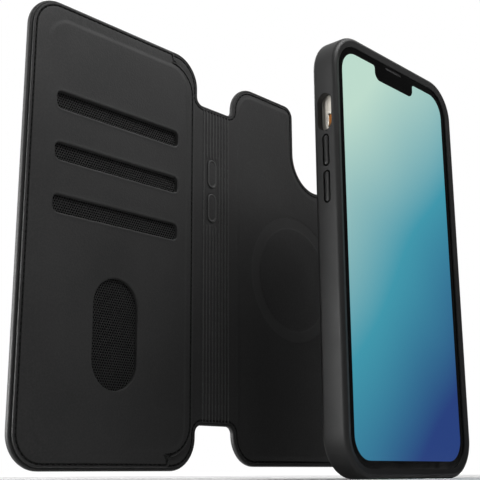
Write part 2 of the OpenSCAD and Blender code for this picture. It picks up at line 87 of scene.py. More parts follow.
cover_low, cover_high = span("cover_outer_skin")
back_low, back_high = span("back_outer_skin")
spine_low, spine_high = span("spine_outer_skin")
pocket_low, pocket_high = span("card_pocket_panel")
ring_low, ring_high = span("folio_magnet_ring")
joint_x = {j["name"]: (j["pos_m"][0] - ZERO[0]) / MM for j in frame["joints"] if "pos_m" in j}

LINING_Y = spine_low[1]
BASE_Y = span("cover_lining")[0][1]
POCKET_Y = pocket_low[1]
OUTER_Y = back_high[1]
SKIN_T = OUTER_Y - span("back_board")[1][1]
REAR_X = joint_x["rear_fold"]
FRONT_X = joint_x["front_fold"]
SPINE_TOP, SPINE_BOTTOM = spine_high[2], spine_low[2]

PANEL_R = 12
NOTCH_R = 3
WINDOW_X, WINDOW_Z, WINDOW_R, WINDOW_LIP_R = 1, 41.6, 15, 5
RING_OUTER_R = (ring_high[0] - ring_low[0]) / 2
RING_INNER_R = RING_OUTER_R - 5.3
RING_Z = centre_of("folio_magnet_ring")[2]

# Ribs of the spine, counted from the cover; the folio's sheets meet in two of their valleys
RIB_PITCH = 1.725
RIBS = [FRONT_X + 1.8 + i * RIB_PITCH for i in range(9)]
FRONT_CUT = (RIBS[0] + RIBS[1]) / 2
REAR_CUT = (RIBS[4] + RIBS[5]) / 2
PAD_X = centre_of("spine_outer_skin")[0]
PAD_FIELD = (13.1, 41.9)

# Fineness of the folio's meshes: steps along an edge, and the lattice between the guide lines
EDGE_STEP, GRID = 1.3, 4.0

# Insets from the folio's edge
LIP_IN = 1.0
SEAM_IN = 1.9
OUTER_SEAM_IN = 2.0
PAD_STEP_IN = 3.3

# ---- Outlines: every corner is (x, z, radius), taken anticlockwise, with square turns ----


def arc_at(before, turn, after, radius, steps):
    back = (before - turn) / np.linalg.norm(before - turn)
    ahead = (after - turn) / np.linalg.norm(after - turn)
    half = math.acos(max(-1.0, min(1.0, float(back @ ahead)))) / 2
    centre = turn + (back + ahead) / np.linalg.norm(back + ahead) * radius / math.sin(half)
    first = turn + back * radius / math.tan(half) - centre
    last = turn + ahead * radius / math.tan(half) - centre
    a0 = math.atan2(first[1], first[0])
    sweep = (math.atan2(last[1], last[0]) - a0 + 3 * math.pi) % (2 * math.pi) - math.pi
    angles = a0 + sweep * np.linspace(0, 1, steps + 1)
    return centre + radius * np.stack([np.cos(angles), np.sin(angles)], 1)


def rounded(corners, closed=True, steps=16):
    """The outline's points. An open outline keeps its first and last corner as they are."""
    spots = [np.array(c[:2], float) for c in corners]
    n = len(corners)
    made = []
    for i, corner in enumerate(corners):
        end = not closed and i in (0, n - 1)
        if end or corner[2] <= 0:
            made.append(spots[i][None])
        else:
            made.append(arc_at(spots[i - 1], spots[i], spots[(i + 1) % n], corner[2], steps))
    return np.concatenate(made)


def stepped_in(corners, depth, closed=True):
    """The same outline moved inward by depth: outer corners tighten and inner ones open."""
    n = len(corners)
    made = []
    for i, (x, z, r) in enumerate(corners):
        normals = []
        for first, last, there in ((i - 1, i, closed or i > 0), (i, i + 1, closed or i < n - 1)):
            if there:
                d = np.subtract(corners[last % n][:2], corners[first][:2])
                normals.append(np.array([-d[1], d[0]]) / np.linalg.norm(d))
        turn = 1
        if len(normals) == 2:
            turn = np.sign(normals[0][0] * normals[1][1] - normals[0][1] * normals[1][0])
        moved = np.array([x, z]) + depth * np.sum(normals, 0)
        made.append((moved[0], moved[1], max(r - turn * depth, 0.05) if r > 0 else 0))
    return made


def box_corners(x0, x1, z0, z1, r):
    return [(x0, z0, r), (x1, z0, r), (x1, z1, r), (x0, z1, r)]


def centred(cx, cz, w, h, r):
    return box_corners(cx - w / 2, cx + w / 2, cz - h / 2, cz + h / 2, r)


def pill(cx, cz, w, h):
    return rounded(centred(cx, cz, w, h, min(w, h) / 2 - 0.01))


BACK_EDGE = [
    (REAR_CUT, SPINE_BOTTOM, 0),
    (back_low[0], SPINE_BOTTOM, NOTCH_R),
    (back_low[0], back_low[2], PANEL_R),
    (back_high[0], back_low[2], PANEL_R),
    (back_high[0], WINDOW_Z, WINDOW_LIP_R),
    (WINDOW_X, WINDOW_Z, WINDOW_R),
    (WINDOW_X, back_high[2], WINDOW_LIP_R),
    (back_low[0], back_high[2], PANEL_R),
    (back_low[0], SPINE_TOP, NOTCH_R),
    (REAR_CUT, SPINE_TOP, 0),
]
COVER_EDGE = [
    (FRONT_CUT, SPINE_TOP, 0),
    (cover_high[0], SPINE_TOP, NOTCH_R),
    (cover_high[0], cover_high[2], PANEL_R),
    (cover_low[0], cover_high[2], PANEL_R),
    (cover_low[0], cover_low[2], PANEL_R),
    (cover_high[0], cover_low[2], PANEL_R),
    (cover_high[0], SPINE_BOTTOM, NOTCH_R),
    (FRONT_CUT, SPINE_BOTTOM, 0),
]
SPINE_TOP_EDGE = [(REAR_CUT, SPINE_TOP, 0), (FRONT_CUT, SPINE_TOP, 0)]
SPINE_BOTTOM_EDGE = [(FRONT_CUT, SPINE_BOTTOM, 0), (REAR_CUT, SPINE_BOTTOM, 0)]
# The back panel alone, for its padded middle
BACK_PANEL = [BACK_EDGE[i] for i in (2, 3, 4, 5, 6, 7)]

TAB_X = cover_high[0] - 14
TAB_H = 3.6
POCKET_EDGE = [
    (pocket_low[0], pocket_low[2], PANEL_R - 1.1),
    (TAB_X, pocket_low[2], 0.8),
    (TAB_X, pocket_low[2] + TAB_H, 2.2),
    (pocket_high[0], pocket_low[2] + TAB_H, PANEL_R),
    (pocket_high[0], pocket_high[2] - TAB_H, PANEL_R),
    (TAB_X, pocket_high[2] - TAB_H, 2.2),
    (TAB_X, pocket_high[2], 0.8),
    (pocket_low[0], pocket_high[2], PANEL_R - 1.1),
]
# The pocket's padded field, its size read from the photograph
FIELD_LEFT, FIELD_RIGHT_IN, FIELD_BOTTOM, FIELD_TOP, FIELD_R = -131.2, 4.2, -73.4, 74, 8.5
POCKET_PAD = box_corners(FIELD_LEFT, pocket_high[0] - FIELD_RIGHT_IN, FIELD_BOTTOM, FIELD_TOP,
                         FIELD_R)
COVER_MID_X = centre_of("cover_outer_skin")[0]
SLOT_W, SLOT_H, SLOT_PITCH, SLOT_TOP_Z = 56.8, 6.1, 18.5, 44
SLOTS = [centred(COVER_MID_X, SLOT_TOP_Z - i * SLOT_PITCH, SLOT_W, SLOT_H, 1.8) for i in range(3)]
THUMB_Z, THUMB_W, THUMB_H = -34.4, 19.8, 38.8
THUMB = centred(COVER_MID_X, THUMB_Z, THUMB_W, THUMB_H, THUMB_W / 2 - 0.01)

# ---- Distances and profiles ----


def measured(points, closed):
    """A line, brought back to its start if closed, and how far along it each point lies."""
    line = np.vstack([points, points[:1]]) if closed else np.asarray(points)
    return line, np.concatenate([[0], np.cumsum(np.linalg.norm(np.diff(line, axis=0), axis=1))])


def resampled(points, step, closed):
    """Evenly spaced points along a line, with the inward normal at each."""
    line, run = measured(points, closed)
    count = max(2, round(run[-1] / step))
    s = np.linspace(0, run[-1], count + 1)
    if closed:
        s = s[:-1]
    spots = np.stack([np.interp(s, run, line[:, k]) for k in (0, 1)], 1)
    if closed:
        along = np.roll(spots, -1, 0) - np.roll(spots, 1, 0)
    else:
        along = np.gradient(spots, axis=0)
    along /= np.linalg.norm(along, axis=1)[:, None]
    return spots, np.stack([-along[:, 1], along[:, 0]], 1)


def distance(points, line, closed):
    """How far each point is from a line of straight pieces."""
    a = np.asarray(line)
    b = np.roll(a, -1, 0) if closed else a[1:]
    a = a if closed else a[:-1]
    keep = np.linalg.norm(b - a, axis=1) > 1e-9
    a, b = a[keep], b[keep]
    best = np.full(len(points), 1e9)
    for p, q in zip(a, b):
        d = q - p
        t = np.clip(((points - p) @ d) / (d @ d), 0, 1)
        best = np.minimum(best, np.linalg.norm(points - p - t[:, None] * d, axis=1))
    return best


def inside(points, loop):
    """Which points lie inside a closed loop."""
    a, b = np.asarray(loop), np.roll(loop, -1, 0)
    hits = np.zeros(len(points), int)
    for p, q in zip(a, b):
        if p[1] == q[1]:
            continue
        crosses = (points[:, 1] > p[1]) != (points[:, 1] > q[1])
        x = p[0] + (points[:, 1] - p[1]) / (q[1] - p[1]) * (q[0] - p[0])
        hits += crosses & (points[:, 0] < x)
    return hits % 2 == 1


def smooth(t):
    t = np.clip(t, 0, 1)
    return t * t * (3 - 2 * t)


def bell(d, width):
    return np.exp(-((d / width) ** 2))


def shoulder(d, r):
    """Drop of a rounded edge of radius r, at distance d inside it."""
    return r - np.sqrt(np.maximum(r * r - np.maximum(r - d, 0) ** 2, 0))


# ---- Mesh helpers ----


def in_scene(name, data):
    made = bpy.data.objects.new(name, data)
    bpy.context.scene.collection.objects.link(made)
    return made


def solid(name, points, faces, paint=None, slots=(), sharp=40):
    """A new piece from millimetre points. paint names the material of each face, by index."""
    mesh = bpy.data.meshes.new(name)
    mesh.from_pydata(place(points).tolist(), [], [list(map(int, f)) for f in faces])
    for m in slots:
        mesh.materials.append(m)
    if paint is not None:
        mesh.polygons.foreach_set("material_index", np.asarray(paint, np.int32))
    mesh.polygons.foreach_set("use_smooth", np.ones(len(mesh.polygons), bool))
    mesh.validate()
    work = bmesh.new()
    work.from_mesh(mesh)
    bmesh.ops.recalc_face_normals(work, faces=work.faces)
    work.to_mesh(mesh)
    work.free()
    mesh.set_sharp_from_angle(angle=math.radians(sharp))
    return in_scene(name, mesh)


def joined(parts):
    """Several (points, faces) as one."""
    points, faces, base = [], [], 0
    for p, f in parts:
        points.append(np.asarray(p, float))
        faces += [[base + i for i in face] for face in f]
        base += len(p)
    return np.concatenate(points), faces


def triangles(boundary, holes, guides, grid=0, clear=(0, 0)):
    """Triangles over an outline with holes, whose edges follow the guide lines. A grid of
    points fills it, except between the two x positions of clear."""
    spots, edges = [], []
    for loop, closed in [(boundary, True), *[(h, True) for h in holes], *guides]:
        base = len(spots)
        spots += [Vector(p) for p in loop]
        n = len(loop)
        edges += [(base + i, base + (i + 1) % n) for i in range(n if closed else n - 1)]
    if grid:
        low, high = boundary.min(0), boundary.max(0)
        xs = np.arange(low[0] + grid / 2, high[0], grid)
        zs = np.arange(low[1] + grid / 2, high[1], grid)
        lattice = np.array([(x + (grid / 2 if k % 2 else 0), z)
                            for k, z in enumerate(zs) for x in xs])
        lattice = lattice[inside(lattice, boundary)]
        near = (lattice[:, 0] > clear[0]) & (lattice[:, 0] < clear[1])
        for loop in (boundary, *holes):
            near |= distance(lattice, loop, True) < grid / 2
        spots += [Vector(p) for p in lattice[~near]]
    made = delaunay_2d_cdt(spots, edges, [], 0, 1e-5)
    points = np.array([tuple(v) for v in made[0]])
    tris = np.array(made[2])
    middle = points[tris].mean(1)
    keep = inside(middle, boundary)
    for h in holes:
        keep &= ~inside(middle, h)
    tris = tris[keep]
    used = np.unique(tris)
    renumber = np.full(len(points), -1)
    renumber[used] = np.arange(len(used))
    points, tris = points[used], renumber[tris]
    a, b, c = points[tris[:, 0]], points[tris[:, 1]], points[tris[:, 2]]
    area = (b[:, 0] - a[:, 0]) * (c[:, 1] - a[:, 1]) - (b[:, 1] - a[:, 1]) * (c[:, 0] - a[:, 0])
    tris[area < 0] = tris[area < 0][:, ::-1]
    return points, tris[np.abs(area) > 1e-9]


def plate(flat, tris, front_y, back_y):
    """A closed solid between two depths, each a number or one per point. front_y is nearer."""
    n = len(flat)
    front = np.column_stack([flat[:, 0], np.broadcast_to(front_y, n), flat[:, 1]])
    back = np.column_stack([flat[:, 0], np.broadcast_to(back_y, n), flat[:, 1]])
    sides = {}
    for t in tris:
        for i, j in ((t[0], t[1]), (t[1], t[2]), (t[2], t[0])):
            if (j, i) in sides:
                del sides[(j, i)]
            else:
                sides[(i, j)] = True
    faces = [list(t) for t in tris] + [[n + i for i in t[::-1]] for t in tris]
    faces += [[j, i, n + i, n + j] for i, j in sides]
    return np.vstack([front, back]), faces


def swept(spots, normals, section):
    """A section of (inset, depth) points carried along a line, with flat ends."""
    m, n = len(section), len(spots)
    points = np.empty((n * m, 3))
    for k, (u, y) in enumerate(section):
        at = spots + normals * u
        points[k::m] = np.column_stack([at[:, 0], np.full(n, y), at[:, 1]])
    faces = []
    for i in range(n - 1):
        a, b = i * m, (i + 1) * m
        faces += [[a + k, a + (k + 1) % m, b + (k + 1) % m, b + k] for k in range(m)]
    faces += [list(range(m))[::-1], [(n - 1) * m + k for k in range(m)]]
    return points, faces


def stitch_row(line, closed, y, toward, pitch=2.15, length=1.5, radius=0.2):
    """Single stitches of thread along a line, each a small arch that dives in at both ends."""
    line, run = measured(line, closed)
    count = int(run[-1] / pitch) if closed else int((run[-1] - length) / pitch) + 1
    even = run[-1] / count if closed else pitch
    start = even / 2 if closed else (run[-1] - (count - 1) * pitch) / 2
    shape = [(-0.5, 0.25, -1.3), (-0.45, 0.8, -0.75), (-0.25, 1, -0.15), (0, 1, 0),
             (0.25, 1, -0.15), (0.45, 0.8, -0.75), (0.5, 0.25, -1.3)]
    sides = 6

    def spot(s):
        return np.array([np.interp(s, run, line[:, k]) for k in (0, 1)])

    parts = []
    for i in range(count):
        ring_points = []
        for along, girth, lift in shape:
            s = start + i * even + along * length
            here = spot(s)
            d = spot(s + 0.05) - spot(s - 0.05)
            d /= np.linalg.norm(d) + 1e-12
            for k in range(sides):
                a = 2 * math.pi * k / sides
                across = here + np.array([-d[1], d[0]]) * radius * girth * math.cos(a)
                depth = y + toward * radius * (girth * math.sin(a) + lift)
                ring_points.append((across[0], depth, across[1]))
        faces = [[r * sides + k, r * sides + (k + 1) % sides,
                  (r + 1) * sides + (k + 1) % sides, (r + 1) * sides + k]
                 for r in range(len(shape) - 1) for k in range(sides)]
        faces += [list(range(sides))[::-1], [(len(shape) - 1) * sides + k for k in range(sides)]]
        parts.append((ring_points, faces))
    return joined(parts)


def finish_piece(piece, slot, nodes=(), body=None, bend=None):
    """Attaches the piece to the empty of its body, or, when given a bend, bakes its placement into
    its points; hides the CAD nodes it stands for. slot is not used.
    """
    if bend:
        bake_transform(piece)
    else:
        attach(piece, body)
    if nodes:
        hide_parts(*nodes)


def bend_at(x):
    """The point on the lining where a fold's bend starts or ends."""
    return tuple(place((x, LINING_Y, 0)))


REAR_BEND = ("back_panel", "spine", bend_at(REAR_X + 3.9), bend_at(REAR_CUT + 0.1))
FRONT_BEND = ("spine", "front_cover", bend_at(FRONT_CUT - 0.1), bend_at(FRONT_X - 3.1))

# ---- Materials ----


class Surface:
    """A Principled material with its helper nodes. Even values sit on the shader's own sockets."""

    def __init__(self, name, **values):
        self.material = bpy.data.materials.new(name)
        self.material.use_nodes = True
        self.tree = self.material.node_tree
        self.shader = self.tree.nodes["Principled BSDF"]
        for key, value in values.items():
            self.shader.inputs[key.replace("_", " ")].default_value = value
        self.place = self.tree.nodes.new("ShaderNodeTexCoord").outputs["Object"]
        self.normal = None

    def node(self, kind, links=(), **values):
        made = self.tree.nodes.new("ShaderNode" + kind)
        for key, value in values.items():
            setattr(made, key, value)
        for key, source in dict(links).items():
            if isinstance(source, bpy.types.NodeSocket):
                self.tree.links.new(source, made.inputs[key])
            else:
                made.inputs[key].default_value = source
        return made

    def noise(self, scale, detail=4, rough=0.55, vector=None, stretch=None):
        vector = vector or self.place
        if stretch:
            vector = self.node("Mapping", {"Vector": vector, "Scale": stretch}).outputs[0]
        return self.node("TexNoise", {"Vector": vector, "Scale": scale, "Detail": detail,
                                      "Roughness": rough}).outputs["Fac"]

    def cells(self, scale):
        return self.node("TexVoronoi", {"Vector": self.place, "Scale": scale}).outputs["Distance"]

    def math(self, operation, a, b=0.0):
        return self.node("Math", {0: a, 1: b}, operation=operation).outputs[0]

    def shared(self, a, share, b):
        """Two patterns added, the first with this share and the second with the rest."""
        return self.math("ADD", self.math("MULTIPLY", a, share),
                         self.math("MULTIPLY", b, 1 - share))

    def ramp(self, factor, stops):
        made = self.node("ValToRGB", {"Fac": factor})
        bar = made.color_ramp
        while len(bar.elements) < len(stops):
            bar.elements.new(0.5)
        for element, (position, colour) in zip(bar.elements, stops):
            element.position = position
            if isinstance(colour, (int, float)):
                colour = (colour,) * 3
            element.color = (*colour, 1)
        return made.outputs["Color"]

    def to(self, key, source):
        self.tree.links.new(source, self.shader.inputs[key])

    def bump(self, height, depth, strength=1.0):
        """Adds relief whose full height is depth, in millimetres."""
        made = self.node("Bump", {"Height": height, "Strength": strength, "Distance": depth * MM})
        if self.normal:
            self.tree.links.new(self.normal, made.inputs["Normal"])
        self.normal = made.outputs["Normal"]
        self.tree.links.new(self.normal, self.shader.inputs["Normal"])


def leather(name, dark, light, rough, grain=1.0, gloss=0.28, nap=0.04):
    """Black coated leather: pebble grain, faint rub marks and soft unevenness."""
    s = Surface(name, Specular_IOR_Level=gloss, Sheen_Weight=nap, Sheen_Roughness=0.5)
    broad = s.noise(28, 3)
    fine = s.noise(1900, 5, 0.7)
    pebble = s.cells(1500 / grain)
    tone = s.shared(broad, 0.65, pebble)
    s.to("Base Color", s.ramp(tone, [(0.3, dark), (0.72, light)]))
    wear = s.shared(s.noise(60, 4), 0.5, fine)
    s.to("Roughness", s.ramp(wear, [(0.3, rough - 0.07), (0.7, rough + 0.09)]))
    s.bump(s.noise(220, 3), 0.10, 0.35)
    s.bump(pebble, 0.05, 0.6)
    s.bump(fine, 0.018, 0.6)
    return s.material


def woven():
    """The sleeves' dark mesh cloth; its holes are modelled, their floors painted near-black as
    painted shade.
    """
    s = Surface("woven_mesh", Specular_IOR_Level=0.25, Sheen_Weight=0.08, Sheen_Roughness=0.4)
    threads = s.node("TexWave", {"Vector": s.place, "Scale": 900.0, "Distortion": 1.2,
                                 "Detail": 2.0}, bands_direction="DIAGONAL").outputs["Fac"]
    tone = s.shared(threads, 0.5, s.noise(700, 4))
    s.to("Base Color", s.ramp(tone, [(0.3, 0.008), (0.75, 0.021)]))
    s.to("Roughness", s.ramp(s.noise(300), [(0.3, 0.62), (0.7, 0.85)]))
    s.bump(threads, 0.06, 0.7)
    return s.material


def thread_finish():
    s = Surface("thread", Specular_IOR_Level=0.08, Sheen_Weight=0.01)
    twist = s.node("TexWave", {"Vector": s.place, "Scale": 1400.0, "Distortion": 0.6,
                               "Detail": 1.0}, bands_direction="DIAGONAL").outputs["Fac"]
    s.to("Base Color", s.ramp(twist, [(0.2, 0.001), (0.8, 0.0035)]))
    s.to("Roughness", s.ramp(s.noise(900), [(0.3, 0.5), (0.7, 0.75)]))
    s.bump(twist, 0.05, 0.8)
    return s.material


def moulded(name, dark, light, rough):
    """Soft-touch moulding with a fine spark-eroded texture and faint handling marks."""
    s = Surface(name, Specular_IOR_Level=0.4)
    broad = s.noise(35, 3)
    fine = s.noise(3200, 3, 0.6)
    tone = s.shared(broad, 0.7, fine)
    s.to("Base Color", s.ramp(tone, [(0.3, dark), (0.7, light)]))
    rub = s.shared(s.noise(90, 5), 0.6, fine)
    s.to("Roughness", s.ramp(rub, [(0.3, rough - 0.06), (0.7, rough + 0.08)]))
    s.bump(fine, 0.012, 0.8)
    s.bump(s.noise(140, 2), 0.03, 0.3)
    return s.material


def metal(name, dark, light, rough):
    s = Surface(name, Metallic=1.0)
    grain = s.noise(1500, 4, 0.6)
    tone = s.shared(s.noise(50), 0.5, grain)
    s.to("Base Color", s.ramp(tone, [(0.3, dark), (0.7, light)]))
    s.to("Roughness", s.ramp(grain, [(0.3, rough - 0.06), (0.7, rough + 0.08)]))
    s.bump(grain, 0.006, 0.6)
    return s.material


def polished(name, dark, light, rough, **extra):
    s = Surface(name, **extra)
    s.to("Base Color", s.ramp(s.noise(90, 3), [(0.3, dark), (0.7, light)]))
    s.to("Roughness", s.ramp(s.noise(260, 5), [(0.35, rough), (0.75, rough + 0.05)]))
    s.bump(s.noise(45, 1), 0.01, 0.15)
    return s.material


def board_finish():
    s = Surface("board", Specular_IOR_Level=0.2)
    fibre = s.noise(900, 6, 0.7, stretch=(1, 1, 0.25))
    s.to("Base Color", s.ramp(fibre, [(0.3, (0.16, 0.12, 0.08)), (0.7, (0.33, 0.27, 0.2))]))
    s.to("Roughness", s.ramp(s.noise(400), [(0.3, 0.8), (0.7, 0.95)]))
    s.bump(fibre, 0.05, 0.6)
    return s.material


def screen_finish():
    """A lit screen with a plain generic picture: three colours that fade from corner to corner."""
    s = Surface("screen", Specular_IOR_Level=0.3, Roughness=0.08)
    unit = 150 * MM
    local = s.node("Mapping", {"Vector": s.place, "Location": tuple(-ZERO / unit),
                               "Scale": (1 / unit,) * 3}).outputs[0]
    parts = s.node("SeparateXYZ", {0: local}).outputs
    slant = s.math("ADD", s.math("MULTIPLY", parts[2], 0.7), s.math("MULTIPLY", parts[0], -0.7))
    haze = s.math("MULTIPLY", s.math("SUBTRACT", s.noise(2, 1, 0.4, vector=local), 0.5), 0.2)
    fade = s.math("ADD", s.math("ADD", slant, haze), 0.5)
    colour = s.ramp(fade, [(0.1, (0.02, 0.05, 0.2)), (0.5, (0.05, 0.3, 0.4)),
                           (0.9, (0.5, 0.7, 0.6))])
    dimmed = s.node("Mix", {0: 1.0, 6: colour, 7: (0.02, 0.02, 0.02, 1)}, data_type="RGBA",
                    blend_type="MULTIPLY")
    s.to("Base Color", dimmed.outputs[2])
    s.to("Emission Color", colour)
    s.shader.inputs["Emission Strength"].default_value = 1.0
    return s.material


LEATHER_OUT = leather("outer_leather", 0.010, 0.018, 0.56, 1.3)
LEATHER_IN = leather("lining_leather", 0.012, 0.022, 0.60)
LEATHER_POCKET = leather("pocket_leather", 0.012, 0.022, 0.60)
# Painted shade: the seam grooves are painted darker than the leather round them
SEAM_SHADE = leather("seam_groove_shade", 0.006, 0.011, 0.75, 1.0, 0.15, 0.0)
# Painted highlight: the tops of the spine's ribs and the rims of the push pads are painted lighter
PAINTED_HIGHLIGHT = leather("painted_highlight", 0.034, 0.052, 0.5, 0.7)
PRESSED = leather("pressed_ring", 0.019, 0.030, 0.52, 0.7)
MESH_CLOTH = woven()
# Painted shade: the floors of the mesh's holes are painted near-black
MESH_HOLE_SHADE = leather("mesh_hole_shade", 0.0008, 0.002, 0.9, 1.0, 0.03, 0.0)
THREAD = thread_finish()
CASE_BUTTON = moulded("case_button", 0.009, 0.015, 0.42)
PHONE_METAL = metal("phone_metal", (0.78, 0.73, 0.64), (0.88, 0.84, 0.76), 0.34)
SWITCH_MARK = moulded("switch_mark", (0.75, 0.25, 0.03), (0.9, 0.34, 0.05), 0.45)

# ---- Folio: the profile that all its sheets share ----

FOLD_ZONE = (cover_high[0] - 4, back_low[0] + 4)
FOLD_LINES = np.arange(FOLD_ZONE[1], FOLD_ZONE[0], -0.6)
RIB_OFFSETS = (-0.6, -0.44, -0.3, -0.15, 0, 0.15, 0.3, 0.44, 0.6)
RIB_HALF, RIB_H = 0.44, 0.34
LINING_T = 0.62
SEAM_WIDTH, SEAM_DEPTH, OUTER_SEAM_DEPTH = 0.3, 0.2, 0.14
FOLD_CREASE_WIDTH, FOLD_CREASE_DEPTH = 1.1, 0.12


def edge_loops(corners, depths, closed=False):
    """Guide lines that run parallel to an edge."""
    return [(resampled(rounded(stepped_in(corners, d, closed), closed), EDGE_STEP, closed)[0], closed)
            for d in depths]


def upright(x, z0=SPINE_BOTTOM, z1=SPINE_TOP):
    z = np.linspace(z0, z1, int((z1 - z0) / GRID) + 2)
    return np.column_stack([np.full(len(z), x), z]), False


def rib_height(flat, edge):
    """The spine's ribs, which fade out towards the seam and round the field of the push pads."""
    x, z = flat[:, 0], flat[:, 1]
    height = np.zeros(len(flat))
    for i, rib_x in enumerate(RIBS):
        ridge = np.maximum(0, 1 - ((x - rib_x) / RIB_HALF) ** 2)
        if 1 <= i <= 4:
            low = smooth((z - PAD_FIELD[0]) / 0.8)
            high = smooth((PAD_FIELD[1] - z) / 0.8)
            ridge = ridge * (1 - low * high)
        height += ridge
    return RIB_H * height * smooth((edge - 1.0) / 0.6)


def lining_height(flat, edges):
    """Rounded rim, seam groove and ribs, shared by the lining of both panels and the spine."""
    edge = np.min([distance(flat, rounded(e, False), False) for e in edges], 0)
    height = -shoulder(edge - LIP_IN, RIM_R)
    height -= SEAM_DEPTH * bell(edge - SEAM_IN, SEAM_WIDTH)
    return height + rib_height(flat, edge), edge


RIM_R = 0.35
CIRCLE_SIDES = 120
RIM_DEPTHS = [LIP_IN + d for d in (0.03, 0.08, 0.16, 0.26, 0.37)]
SEAM_HALF = 0.36
SEAM_DEPTHS = [SEAM_IN + d for d in (-0.42, -0.32, -0.16, 0, 0.16, 0.32, 0.42, 0.6)]


def lining_guides(corners):
    return edge_loops(corners, RIM_DEPTHS + SEAM_DEPTHS)


def on_rib(flat, edge):
    """Where the tops of the ribs are painted lighter: a painted highlight."""
    return rib_height(flat, edge) > 0.25


def tinted(tris, count, *marks):
    """The material of each face: 0, or the number of the mark that most of its corners carry."""
    paint = np.zeros(count, int)
    for number, mark in enumerate(marks, 1):
        paint[:len(tris)][mark[tris].sum(1) >= 2] = number
    return paint


def lining_piece(name, flat, tris, height, edge, nodes, marks=(), **moves):
    """A sheet of the lining. Its seam groove carries a painted shade, the tops of its ribs a painted
    highlight, and its other marks their own finishes.
    """
    made = plate(flat, tris, LINING_Y - height, LINING_Y + LINING_T)
    # The seam groove gets a painted shade and the rib tops a painted highlight
    marks = [(np.abs(edge - SEAM_IN) < SEAM_HALF, SEAM_SHADE), *marks, (on_rib(flat, edge), PAINTED_HIGHLIGHT)]
    paint = tinted(tris, len(made[1]), *[where for where, _ in marks])
    piece = solid(name, *made, paint, [LEATHER_IN, *[finish for _, finish in marks]])
    finish_piece(piece, "lining_leather", nodes, **moves)
    return piece


def circle(r):
    a = np.linspace(0, 2 * math.pi, CIRCLE_SIDES, endpoint=False)
    return np.column_stack([r * np.cos(a), RING_Z + r * np.sin(a)]), True


# ---- Back panel ----

back_sheet_edge = rounded(stepped_in(BACK_EDGE, LIP_IN, False), False)
back_boundary = resampled(back_sheet_edge, EDGE_STEP, False)[0]
guides = lining_guides(BACK_EDGE)
PAD_DEPTHS = [PAD_STEP_IN + d for d in (-0.8, -0.4, 0, 0.4, 0.8, 1.3)]
guides += edge_loops(BACK_PANEL, PAD_DEPTHS, True)
RING_STEPS = (-0.9, -0.45, 0, 0.45)
RING_DEPTH = 0.16
# The padding's edge is creased only on the side of the spine
PANEL_PAD_H, PANEL_CREASE_DEPTH, PANEL_CREASE_END_X = 0.2, 0.10, -34
guides += [circle(RING_OUTER_R + d) for d in RING_STEPS]
guides += [circle(RING_INNER_R - d) for d in RING_STEPS]
guides += [upright(r + d) for r in RIBS[5:] for d in RIB_OFFSETS]
guides += [upright(x) for x in np.arange(RIBS[8] + 1.0, FOLD_ZONE[1], 0.6)]
flat, tris = triangles(back_boundary, [], guides, GRID, (REAR_CUT, FOLD_ZONE[1]))
height, edge = lining_height(flat, [BACK_EDGE])
panel_edge = distance(flat, rounded(BACK_PANEL), True)
on_panel = inside(flat, rounded(BACK_PANEL))
step_in = panel_edge - PAD_STEP_IN + 0.7
height += PANEL_PAD_H * smooth(step_in / 1.7) * on_panel
height -= PANEL_CREASE_DEPTH * bell(step_in, 0.5) * on_panel * (flat[:, 0] < PANEL_CREASE_END_X)
from_ring = np.hypot(flat[:, 0], flat[:, 1] - RING_Z)
annulus = smooth((RING_OUTER_R + 0.3 - from_ring) / 0.9)
annulus *= smooth((from_ring - RING_INNER_R + 0.3) / 0.9)
height -= RING_DEPTH * annulus
back_lining = lining_piece("back_lining_leather", flat, tris, height, edge,
                           ["back_lining", "rear_fold_lining"], [(annulus > 0.5, PRESSED)],
                           bend=REAR_BEND)

# ---- Spine ----

spine_boundary = np.vstack([
    upright(REAR_CUT, SPINE_BOTTOM + LIP_IN, SPINE_TOP - LIP_IN)[0],
    upright(FRONT_CUT, SPINE_BOTTOM + LIP_IN, SPINE_TOP - LIP_IN)[0][::-1],
])
guides = lining_guides(SPINE_TOP_EDGE) + lining_guides(SPINE_BOTTOM_EDGE)
guides += [upright(r + d) for r in RIBS[1:5] for d in RIB_OFFSETS]
guides += [(np.array([(REAR_CUT, z), (FRONT_CUT, z)]), False)
           for z0 in PAD_FIELD for z in (z0 - 0.8, z0 - 0.4, z0, z0 + 0.4, z0 + 0.8)]
PAD_ZS = [centre_of(n)[2] for n in ("spine_volume_up_pad", "spine_volume_down_pad")]
PAD_W, PAD_H = (span("spine_volume_up_pad")[1] - span("spine_volume_up_pad")[0])[[0, 2]]
PAD_GAP = 0.16
pad_holes = [resampled(pill(PAD_X, z, PAD_W + PAD_GAP, PAD_H + PAD_GAP), 0.6, True)[0]
             for z in PAD_ZS]
for z in PAD_ZS:
    guides += [(resampled(pill(PAD_X, z, PAD_W + d, PAD_H + d), 0.6, True)[0], True)
               for d in (0.36, 0.66, 1.1)]
flat, tris = triangles(spine_boundary, pad_holes, guides)
height, edge = lining_height(flat, [SPINE_TOP_EDGE, SPINE_BOTTOM_EDGE])
for hole in pad_holes:
    height -= shoulder(distance(flat, hole, True), 0.22) * 0.9
lining_piece("spine_lining_leather", flat, tris, height, edge, ["spine_lining"], body="spine")


